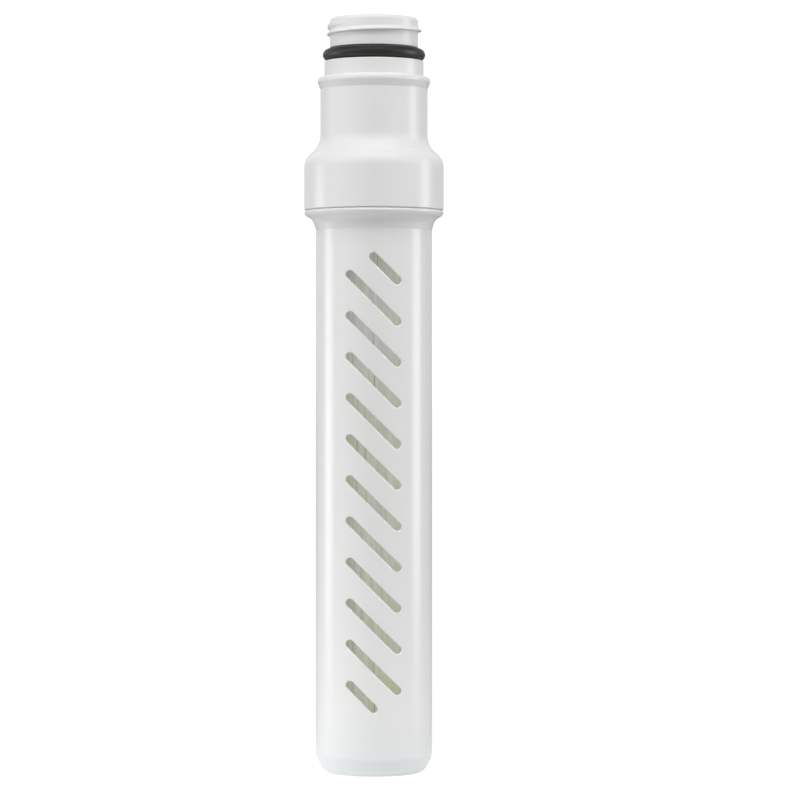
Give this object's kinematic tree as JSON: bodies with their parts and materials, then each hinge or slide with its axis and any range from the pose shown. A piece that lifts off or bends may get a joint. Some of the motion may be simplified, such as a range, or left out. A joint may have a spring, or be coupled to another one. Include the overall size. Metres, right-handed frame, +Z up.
{
  "type": "water bottle filter",
  "caption": "Filter cartridge for a drinking bottle: a closed tube with diagonal slots round hollow fibres, under a stepped head with a seal ring and a threaded spout.",
  "frame": {"origin": "on the axis, in the plane of the closed end's outer face", "axes": "+Z up the axis from the closed end to the spout's mouth; -Y is the front, and the slots on it run down towards +X"},
  "size_m": [0.033, 0.033, 0.178],
  "materials": {
    "head_plastic": "semi-gloss white",
    "housing_plastic": "semi-gloss white, slightly see-through at the closed end",
    "seal_rubber": "soft sheen black",
    "inner_seal_rubber": "black",
    "sleeve_plastic": "natural white",
    "resin": "cast, cut flush",
    "fibre": "porous off-white"
  },
  "bodies": {
    "root": {"fibre_loop_01": "fibre", "fibre_loop_02": "fibre", "fibre_loop_03": "fibre", "fibre_loop_04": "fibre", "fibre_loop_05": "fibre", "fibre_loop_06": "fibre", "fibre_loop_07": "fibre", "fibre_loop_08": "fibre", "fibre_loop_09": "fibre", "fibre_loop_10": "fibre", "fibre_loop_11": "fibre", "fibre_loop_12": "fibre", "fibre_loop_13": "fibre", "fibre_loop_14": "fibre", "fibre_loop_15": "fibre", "fibre_loop_16": "fibre", "fibre_loop_17": "fibre", "fibre_loop_18": "fibre", "fibre_loop_19": "fibre", "fibre_loop_20": "fibre", "fibre_loop_21": "fibre", "fibre_loop_22": "fibre", "fibre_loop_23": "fibre", "fibre_loop_24": "fibre", "fibre_loop_25": "fibre", "fibre_loop_26": "fibre", "fibre_loop_27": "fibre", "fibre_loop_28": "fibre", "head": "head_plastic", "inner_seal_ring": "inner_seal_rubber", "outer_seal_ring": "seal_rubber", "potting_resin": "resin", "potting_sleeve": "sleeve_plastic", "slotted_housing": "housing_plastic"}
  },
  "joints": []
}
